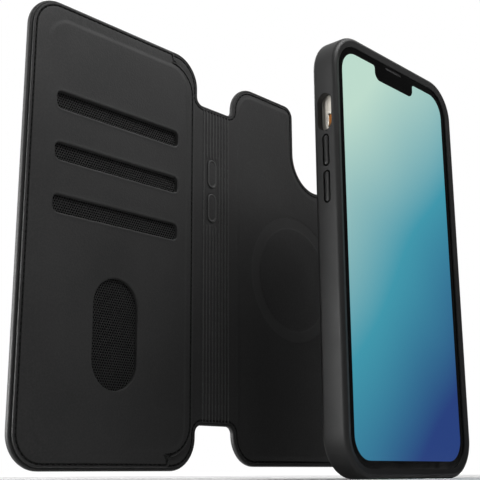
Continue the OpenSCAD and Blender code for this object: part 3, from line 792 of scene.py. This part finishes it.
def push_pad(name, z, node, body):
    """A pill-shaped leather pad with a rolled rim, painted lighter as a painted highlight, and a
    shallow dished middle.
    """
    insets, heights = zip((0, -0.2), (0.06, -0.05), (0.2, 0.07), (0.42, 0.12),
                          (0.65, 0.06), (0.85, -0.1), (1.1, -0.14), (1.6, -0.05))
    top = span(node)[0][1] + 0.12
    guides = [(resampled(pill(PAD_X, z, PAD_W - 2 * d, PAD_H - 2 * d), 0.5, True)[0], True)
              for d in insets[1:]]
    edge_line = resampled(pill(PAD_X, z, PAD_W, PAD_H), 0.5, True)[0]
    flat, tris = triangles(edge_line, [], guides, 1.2)
    d = distance(flat, edge_line, True)
    height = np.interp(d, insets, heights)
    made = plate(flat, tris, top - height, span(node)[1][1])
    # The rolled rim is painted lighter: a painted highlight
    paint = tinted(tris, len(made[1]), (d > 0.15) & (d < 0.7))
    piece = solid(name, *made, paint, [LEATHER_IN, PAINTED_HIGHLIGHT])
    finish_piece(piece, "lining_leather", [node], body=body)


push_pad("volume_up_push_pad", PAD_ZS[0], "spine_volume_up_pad", "spine_up_pad")
push_pad("volume_down_push_pad", PAD_ZS[1], "spine_volume_down_pad", "spine_down_pad")

# ---- Cover: the lining under the pocket, then the pocket ----

COVER_CREASE_X, COVER_CREASE_DEPTH = -59.9, 0.12
cover_boundary = resampled(rounded(stepped_in(COVER_EDGE, LIP_IN, False), False), EDGE_STEP,
                           False)[0]
pocket_line = rounded(POCKET_EDGE)
guides = lining_guides(COVER_EDGE)
guides += [upright(RIBS[0] + d) for d in RIB_OFFSETS]
guides += [upright(x) for x in np.arange(RIBS[0] - 1.0, FOLD_ZONE[0], -0.6)]
flat, tris = triangles(cover_boundary, [], guides, GRID, (FOLD_ZONE[0], FRONT_CUT))
height, edge = lining_height(flat, [COVER_EDGE])
under = np.where(inside(flat, pocket_line), distance(flat, pocket_line, True), 0)
height -= (BASE_Y + 0.05 - LINING_Y) * smooth((under - 0.1) / 1.2)
height -= COVER_CREASE_DEPTH * bell(flat[:, 0] - COVER_CREASE_X, 0.8)
cover_lining = lining_piece("cover_lining_leather", flat, tris, height, edge,
                            ["cover_lining", "front_fold_lining"], bend=FRONT_BEND)

POCKET_R, POCKET_RIM_H, POCKET_PAD_H = 0.4, 0.5, 0.34
POCKET_SEAM_IN = 1.1
POCKET_GRID = 3.5
SLOT_LIP_H, THUMB_LIP_H = 0.10, 0.05
slot_holes = [resampled(rounded(s), 1.1, True)[0] for s in SLOTS]
thumb_hole = resampled(rounded(THUMB), 1.0, True)[0]
pocket_boundary = resampled(pocket_line, 1.2, True)[0]
guides = []
POCKET_DEPTHS = (0.04, 0.12, 0.24, 0.4, 0.68, 0.78, 0.94, 1.1, 1.26, 1.42, 1.52, 1.75)
guides += edge_loops(POCKET_EDGE, POCKET_DEPTHS, True)
guides += edge_loops(POCKET_PAD, (-1.2, -0.8, -0.4, 0, 0.4, 0.8, 1.2), True)
LIP_STEPS = (-0.08, -0.2, -0.4, -0.7, -1.1, -1.5)
for opening in SLOTS + [THUMB]:
    guides += edge_loops(opening, LIP_STEPS, True)
flat, tris = triangles(pocket_boundary, slot_holes + [thumb_hole], guides, POCKET_GRID)
edge = distance(flat, pocket_line, True)
height = -shoulder(edge, POCKET_R) * (POCKET_RIM_H / POCKET_R)
height -= SEAM_DEPTH * bell(edge - POCKET_SEAM_IN, SEAM_WIDTH)
pad_line = rounded(POCKET_PAD)
pad_in = distance(flat, pad_line, True) * np.where(inside(flat, pad_line), 1, -1)
height += POCKET_PAD_H * smooth((pad_in + 1.0) / 2.0)
for i, hole in enumerate([*slot_holes, thumb_hole]):
    d = distance(flat, hole, True)
    height -= shoulder(d, 0.32) * 1.1
    height += (SLOT_LIP_H if i < len(SLOTS) else THUMB_LIP_H) * bell(d - 0.65, 0.32)
made = plate(flat, tris, POCKET_Y - height, pocket_high[1] - 0.02)
# The pocket's seam groove is painted darker: a painted shade
paint = tinted(tris, len(made[1]), np.abs(edge - POCKET_SEAM_IN) < SEAM_HALF)
card_pocket = solid("card_pocket_leather", *made, paint, [LEATHER_POCKET, SEAM_SHADE])
finish_piece(card_pocket, "pocket_leather", ["card_pocket_panel"], body="front_cover")

# ---- Sleeves: mesh cloth with staggered holes ----

HOLE_PITCH, HOLE_R, HOLE_DEPTH = 1.02, 0.42, 0.17
WINDOW_MARGIN = 0.9


def mesh_sleeve(name, node, windows):
    """A thin sheet whose mesh shows in the windows: every hole there is a small six-sided pit whose
    floor is painted near-black as painted shade.
    """
    low, high = span(node)
    edge_line = resampled(rounded(box_corners(low[0], high[0], low[2], high[2], 2)), 2.5, True)[0]
    row_step = HOLE_PITCH * math.sqrt(3) / 2
    centres = []
    for window in windows:
        low_x, low_z = window.min(0)
        high_x, high_z = window.max(0)
        for k in range(int((high_z - low_z) / row_step) + 1):
            z = low_z + (k + 0.5) * row_step
            xs = np.arange(low_x + (0.25 if k % 2 else 0.75) * HOLE_PITCH, high_x, HOLE_PITCH)
            centres += [(x, z) for x in xs]
    centres = np.array(centres)
    centres = centres[np.any([inside(centres, window) for window in windows], 0)]
    turns = np.radians(np.arange(0, 360, 60) + 30)
    ring_shape = np.stack([np.cos(turns), np.sin(turns)], 1)
    pits = [(c + ring_shape * HOLE_R, True) for c in centres]
    floors = [(c + ring_shape * HOLE_R * 0.9, True) for c in centres]
    flat, tris = triangles(edge_line, [], pits + floors)
    keys = {(round(p[0], 4), round(p[1], 4)) for loop, _ in floors for p in loop}
    low_spot = np.array([(round(p[0], 4), round(p[1], 4)) in keys for p in flat])
    front = low[1] + HOLE_DEPTH * low_spot
    points, faces = plate(flat, tris, front, high[1])
    # The pits' floors are painted near-black: a painted shade in place of open holes
    dark = [1 if i < len(tris) and low_spot[list(f)].sum() >= 2 else 0
            for i, f in enumerate(faces)]
    piece = solid(name, points, faces, paint=dark, slots=[MESH_CLOTH, MESH_HOLE_SHADE], sharp=30)
    finish_piece(piece, "woven_mesh", [node], body="front_cover")


def window_of(corners):
    return rounded(stepped_in(corners, -WINDOW_MARGIN))


mesh_sleeve("card_sleeve_upper_mesh", "card_sleeve_top", [window_of(SLOTS[0])])
mesh_sleeve("card_sleeve_middle_mesh", "card_sleeve_middle", [window_of(SLOTS[1])])
mesh_sleeve("card_sleeve_lower_mesh", "card_sleeve_bottom", [window_of(SLOTS[2]),
                                                            window_of(THUMB)])

# ---- Outer leather and the turned edge ----

RIM = [
    (1.7, OUTER_Y), (1.2, OUTER_Y), (0.75, OUTER_Y - 0.07), (0.4, OUTER_Y - 0.24),
    (0.15, OUTER_Y - 0.52), (0.02, OUTER_Y - 0.9), (0, LINING_Y + 0.8),
    (0.06, LINING_Y + 0.5), (0.22, LINING_Y + 0.22), (0.48, LINING_Y + 0.05),
    (0.78, LINING_Y), (0.98, LINING_Y + 0.07), (1.08, LINING_Y + 0.28),
    (0.9, LINING_Y + 0.62), (SKIN_T, LINING_Y + 0.95), (SKIN_T, OUTER_Y - 1.0),
    (0.9, OUTER_Y - SKIN_T), (1.7, OUTER_Y - SKIN_T),
]
OUTER_EDGE_IN = 1.6
OUTER_DEPTHS = (1.75, 1.85, 2.0, 2.15, 2.3, 2.6, 3.4, 4.2, 5.0)


def outer_shell(name, edges, nodes, **moves):
    """The turned edge along the given edge lines, and the flat outer face with its seam groove."""
    parts = []
    for e in edges:
        spots, normals = resampled(rounded(e, False), 0.8, False)
        parts.append(swept(spots, normals, RIM))
    lines = [resampled(rounded(stepped_in(e, OUTER_EDGE_IN, False), False), EDGE_STEP, False)[0]
             for e in edges]
    guides = []
    for e in edges:
        guides += edge_loops(e, OUTER_DEPTHS)
    boundary = np.vstack(lines)
    guides += [upright(x) for x in FOLD_LINES
               if boundary[:, 0].min() < x < boundary[:, 0].max()]
    flat, tris = triangles(boundary, [], guides, GRID, FOLD_ZONE)
    edge = np.min([distance(flat, rounded(e, False), False) for e in edges], 0)
    sink = OUTER_SEAM_DEPTH * bell(edge - OUTER_SEAM_IN, SEAM_WIDTH)
    for fold_x in (REAR_X, FRONT_X):
        sink = sink + FOLD_CREASE_DEPTH * bell(flat[:, 0] - fold_x, FOLD_CREASE_WIDTH)
    parts.append(plate(flat, tris, OUTER_Y - SKIN_T, OUTER_Y - sink))
    piece = solid(name, *joined(parts), slots=[LEATHER_OUT])
    finish_piece(piece, "outer_leather", nodes, **moves)
    return piece


back_shell = outer_shell("back_outer_leather", [BACK_EDGE], ["back_outer_skin", "rear_fold_skin"],
                         bend=REAR_BEND)
outer_shell("spine_outer_leather", [SPINE_BOTTOM_EDGE, SPINE_TOP_EDGE], ["spine_outer_skin"],
            body="spine")
cover_shell = outer_shell("cover_outer_leather", [COVER_EDGE],
                          ["cover_outer_skin", "front_fold_skin"], bend=FRONT_BEND)

# ---- Seams ----


def seam(name, rows, nodes, **moves):
    piece = solid(name, *joined(rows), slots=[THREAD], sharp=60)
    finish_piece(piece, "thread", nodes, **moves)
    return piece


def seam_line(edge, depth, closed=False):
    return rounded(stepped_in(edge, depth, closed), closed)


THREAD_SUNK = 0.02
STITCH_Y, OUTER_STITCH_Y = LINING_Y + THREAD_SUNK, OUTER_Y - THREAD_SUNK
seam("back_seam", [
    stitch_row(seam_line(BACK_EDGE, SEAM_IN), False, STITCH_Y, -1),
    stitch_row(seam_line(BACK_EDGE, OUTER_SEAM_IN), False, OUTER_STITCH_Y, 1),
], ["back_stitching"], bend=REAR_BEND)
seam("spine_seam", [
    stitch_row(seam_line(e, d), False, y, toward)
    for e in (SPINE_TOP_EDGE, SPINE_BOTTOM_EDGE)
    for d, y, toward in ((SEAM_IN, STITCH_Y, -1), (OUTER_SEAM_IN, OUTER_STITCH_Y, 1))
], ["spine_stitching"], body="spine")

# On the lining the cover's seam shows from the fold to the pocket's two tabs
cover_line = seam_line(COVER_EDGE, SEAM_IN)
near_fold = cover_line[:, 0] > TAB_X + 0.6
upper = cover_line[near_fold & (cover_line[:, 1] > 0)]
lower = cover_line[near_fold & (cover_line[:, 1] < 0)]
upper = np.vstack([upper, [(TAB_X + 0.8, upper[-1][1])]])
lower = np.vstack([[(TAB_X + 0.8, lower[0][1])], lower])
seam("cover_seam", [
    stitch_row(upper, False, STITCH_Y, -1),
    stitch_row(lower, False, STITCH_Y, -1),
    stitch_row(seam_line(COVER_EDGE, OUTER_SEAM_IN), False, OUTER_STITCH_Y, 1),
], ["cover_stitching"], bend=FRONT_BEND)
seam("pocket_seam", [
    stitch_row(seam_line(POCKET_EDGE, POCKET_SEAM_IN, True), True, POCKET_Y + THREAD_SUNK, -1),
], ["pocket_stitching"], body="front_cover")

# ---- CAD nodes that stay, with their finishes ----

FINISHES = {
    "board": (board_finish(), ["back_board", "spine_board", "cover_board"]),
    "magnet": (metal("magnet", (0.35,) * 3, (0.55,) * 3, 0.3),
               ["folio_magnet_ring", "case_magnet_ring"]),
    "bumper": (moulded("bumper", 0.008, 0.013, 0.5), ["case_frame"]),
    "case_plate": (moulded("case_plate", 0.008, 0.013, 0.55), ["case_back_plate"]),
    "case_button": (CASE_BUTTON, ["case_volume_up_button", "case_volume_down_button",
                                  "case_side_button"]),
    "phone_metal": (PHONE_METAL, ["phone_frame", "phone_camera_plate", "phone_volume_up_key",
                                  "phone_volume_down_key", "phone_side_key",
                                  "phone_ring_switch"]),
    "bezel_glass": (polished("bezel_glass", 0.001, 0.003, 0.05, Specular_IOR_Level=0.35,
                             Coat_Weight=0.3), ["phone_front_glass", "phone_front_camera"]),
    "screen": (screen_finish(), ["phone_display"]),
    "earpiece_mesh": (metal("earpiece_mesh", (0.10,) * 3, (0.2,) * 3, 0.45), ["phone_earpiece"]),
    "back_glass": (polished("back_glass", (0.78, 0.75, 0.68), (0.86, 0.83, 0.77), 0.12,
                            Coat_Weight=0.6), ["phone_back_glass"]),
    "lens": (polished("lens", (0.002, 0.003, 0.006), (0.008, 0.012, 0.03), 0.02,
                      Coat_Weight=1.0), ["phone_camera_lenses"]),
    "flash_lens": (polished("flash_lens", (0.80, 0.74, 0.5), (0.92, 0.88, 0.7), 0.15,
                            Coat_Weight=0.5), ["phone_flash"]),
    "phone_core": (metal("phone_core", (0.2,) * 3, (0.34,) * 3, 0.5), ["phone_internals"]),
    "socket_steel": (metal("socket_steel", (0.38,) * 3, (0.52,) * 3, 0.28),
                     ["phone_charging_socket"]),
}
for slot_name, (finish, names) in FINISHES.items():
    for node_name in names:
        node = frame["nodes"][node_name]
        node.data.materials.clear()
        node.data.materials.append(finish)

# ---- Case and phone details ----


def side_cap(side, y, z, length, width, deep_x, top_x, edge_r, crown=0.0):
    """A pill standing out of a side wall, from deep_x to top_x, with a rounded, domed top."""
    steps = [(0, deep_x)]
    steps += [(edge_r * (1 - math.cos(a)), top_x - edge_r * (1 - math.sin(a)))
              for a in np.linspace(0, math.pi / 2, 6)]
    if crown:
        steps += [(edge_r + (width / 2 - edge_r) * t, top_x + crown * (1 - (1 - t) ** 2))
                  for t in (0.25, 0.5, 0.75, 0.92)]
    loops = []
    for inset, x in steps:
        outline = pill(0, 0, width - 2 * inset, length - 2 * inset)
        loops.append(np.column_stack([np.full(len(outline), side * x), y - side * outline[:, 0],
                                      z + outline[:, 1]]))
    n = len(loops[0])
    faces = [[k * n + i, k * n + (i + 1) % n, (k + 1) * n + (i + 1) % n, (k + 1) * n + i]
             for k in range(len(loops) - 1) for i in range(n)]
    faces += [list(range(n))[::-1], [(len(loops) - 1) * n + i for i in range(n)]]
    return np.concatenate(loops), faces


CAP_R, CAP_CROWN = 0.55, 0.06
for node_name, body_name, side in (
    ("case_volume_up_button", "volume_up_button", -1),
    ("case_volume_down_button", "volume_down_button", -1),
    ("case_side_button", "side_button", 1),
):
    low, high = span(node_name)
    near_x, far_x = sorted((abs(low[0]), abs(high[0])))
    cap = side_cap(side, *centre_of(node_name)[1:], high[2] - low[2], high[1] - low[1], near_x,
                   far_x - CAP_CROWN, CAP_R, CAP_CROWN)
    piece = solid(node_name + "_cap", *cap, slots=[CASE_BUTTON], sharp=50)
    finish_piece(piece, "case_button", [node_name], body=body_name)

switch_low, switch_high = span("phone_ring_switch")
PHONE_SIDE_X = -span("phone_frame")[0][0]
switch_y, switch_z = centre_of("phone_ring_switch")[1:]
switch_len = switch_high[2] - switch_low[2]
ROCKER_SHIFT, ROCKER_W = 0.28, 1.14
MARK_SHIFT, MARK_W = -1.1, 1.6
cap = side_cap(-1, switch_y + ROCKER_SHIFT, switch_z, switch_len, ROCKER_W,
               PHONE_SIDE_X - 0.3, -switch_low[0], 0.2)
finish_piece(solid("ring_switch_rocker", *cap, slots=[PHONE_METAL]), "phone_metal",
             ["phone_ring_switch"], body="ring_switch")
# An orange mark beside the rocker, which the CAD model doesn't have
cap = side_cap(-1, switch_y + MARK_SHIFT, switch_z, switch_len + 0.3, MARK_W,
               PHONE_SIDE_X - 0.9, PHONE_SIDE_X - 0.34, 0.1)
finish_piece(solid("ring_switch_mark", *cap, slots=[SWITCH_MARK]), "phone_metal",
             body="inner_case")

# The edges of the moulded case, the camera plate and the lenses are rounded a little
for node_name, width in (("case_frame", 0.3), ("case_back_plate", 0.5),
                         ("phone_camera_plate", 0.35), ("phone_camera_lenses", 0.25)):
    node = frame["nodes"][node_name]
    merge = node.modifiers.new("merge", "DECIMATE")
    merge.decimate_type = "DISSOLVE"
    merge.angle_limit = math.radians(1.5)
    bevel = node.modifiers.new("bevel", "BEVEL")
    bevel.width = width * MM
    bevel.segments = 3
    bevel.limit_method = "ANGLE"
    bevel.angle_limit = math.radians(40)
    bevel.harden_normals = True

# ---- Camera, at the photograph's angle ----

EYE = (-303.24, -194.36, -81.01)
AZIMUTH, PITCH, ROLL = (math.radians(a) for a in (-47.19, 14.06, -0.287))
FOCAL_SHARE = 930.3 / 480
ahead = Vector((-math.sin(AZIMUTH) * math.cos(PITCH), math.cos(AZIMUTH) * math.cos(PITCH),
                math.sin(PITCH)))
level_right = Vector((math.cos(AZIMUTH), math.sin(AZIMUTH), 0))
level_up = level_right.cross(ahead)
right = level_right * math.cos(ROLL) + level_up * math.sin(ROLL)
up = level_up * math.cos(ROLL) - level_right * math.sin(ROLL)
camera_data = bpy.data.cameras.new("camera")
camera_data.lens = camera_data.sensor_width * FOCAL_SHARE
camera_data.clip_start, camera_data.clip_end = 0.01, 20
camera = in_scene("camera", camera_data)
turned = Matrix((right, up, -ahead)).transposed().to_4x4()
camera.matrix_world = Matrix.Translation(Vector(place(EYE))) @ turned
bpy.context.scene.camera = camera

# ---- Studio: pale floor, white surroundings and soft lights ----

FLOOR_REACH = 4
floor_mesh = bpy.data.meshes.new("floor")
floor_mesh.from_pydata([(x * FLOOR_REACH, y * FLOOR_REACH, 0)
                        for x, y in ((-1, -1), (1, -1), (1, 1), (-1, 1))], [], [(0, 1, 2, 3)])
floor = in_scene("floor", floor_mesh)
floor_finish = Surface("floor", Roughness=0.9, Specular_IOR_Level=0.1)
floor_finish.to("Base Color", floor_finish.ramp(floor_finish.noise(3, 2),
                                                [(0.3, 0.66), (0.7, 0.68)]))
# The floor glows: painted light, faint near the object and rising to white further out
floor_finish.shader.inputs["Emission Color"].default_value = (1, 1, 1, 1)
far_out = floor_finish.node("VectorMath", {0: floor_finish.place}, operation="LENGTH")
glow = floor_finish.node("MapRange", {"Value": far_out.outputs["Value"], "From Min": 0.15,
                                      "From Max": 0.9, "To Min": 0.03, "To Max": 1.0})
floor_finish.to("Emission Strength", glow.outputs[0])
floor_mesh.materials.append(floor_finish.material)


def softbox(name, spot, target, size, power, spread):
    """A rectangular light whose grid keeps its beam within the spread, in degrees."""
    light = bpy.data.lights.new(name, "AREA")
    light.spread = math.radians(spread)
    light.shape = "RECTANGLE"
    light.size, light.size_y = size
    light.energy = power
    spot, target = Vector(spot), Vector(target)
    turn = (spot - target).to_track_quat("Z", "Y").to_matrix().to_4x4()
    in_scene(name, light).matrix_world = Matrix.Translation(spot) @ turn


softbox("top_light", (0.07, -0.18, 0.42), (0.0, 0.03, 0.14), (0.45, 0.12), 0.36, 70)
softbox("front_left_light", (-0.75, -0.12, 0.35), (0, -0.03, 0.1), (0.2, 0.5), 0.05, 60)
softbox("edge_light", (-0.7, 0.45, 0.09), (-0.09, 0.03, 0.09), (0.3, 0.16), 1.3, 50)
softbox("back_light", (0.3, 0.55, 0.45), (0, 0.03, 0.1), (0.4, 0.3), 0.3, 80)

world = bpy.data.worlds.new("studio")
world.use_nodes = True
background = world.node_tree.nodes["Background"]
background.inputs["Color"].default_value = (1, 1, 1, 1)
# The studio is white behind the object and dim in front; the backdrop itself shows pure white
tree = world.node_tree
toward = tree.nodes.new("ShaderNodeSeparateXYZ")
tree.links.new(tree.nodes.new("ShaderNodeTexCoord").outputs["Generated"], toward.inputs[0])
shade = tree.nodes.new("ShaderNodeMapRange")
shade.interpolation_type = "SMOOTHSTEP"
for key, value in (("From Min", -0.15), ("From Max", 0.35), ("To Min", 0.04), ("To Max", 0.9)):
    shade.inputs[key].default_value = value
tree.links.new(toward.outputs["Y"], shade.inputs["Value"])
seen = tree.nodes.new("ShaderNodeLightPath").outputs["Is Camera Ray"]
brightness = tree.nodes.new("ShaderNodeMapRange")
tree.links.new(seen, brightness.inputs["Value"])
tree.links.new(shade.outputs[0], brightness.inputs["To Min"])
tree.links.new(brightness.outputs[0], background.inputs["Strength"])
bpy.context.scene.world = world
bpy.context.scene.view_settings.view_transform = "Standard"
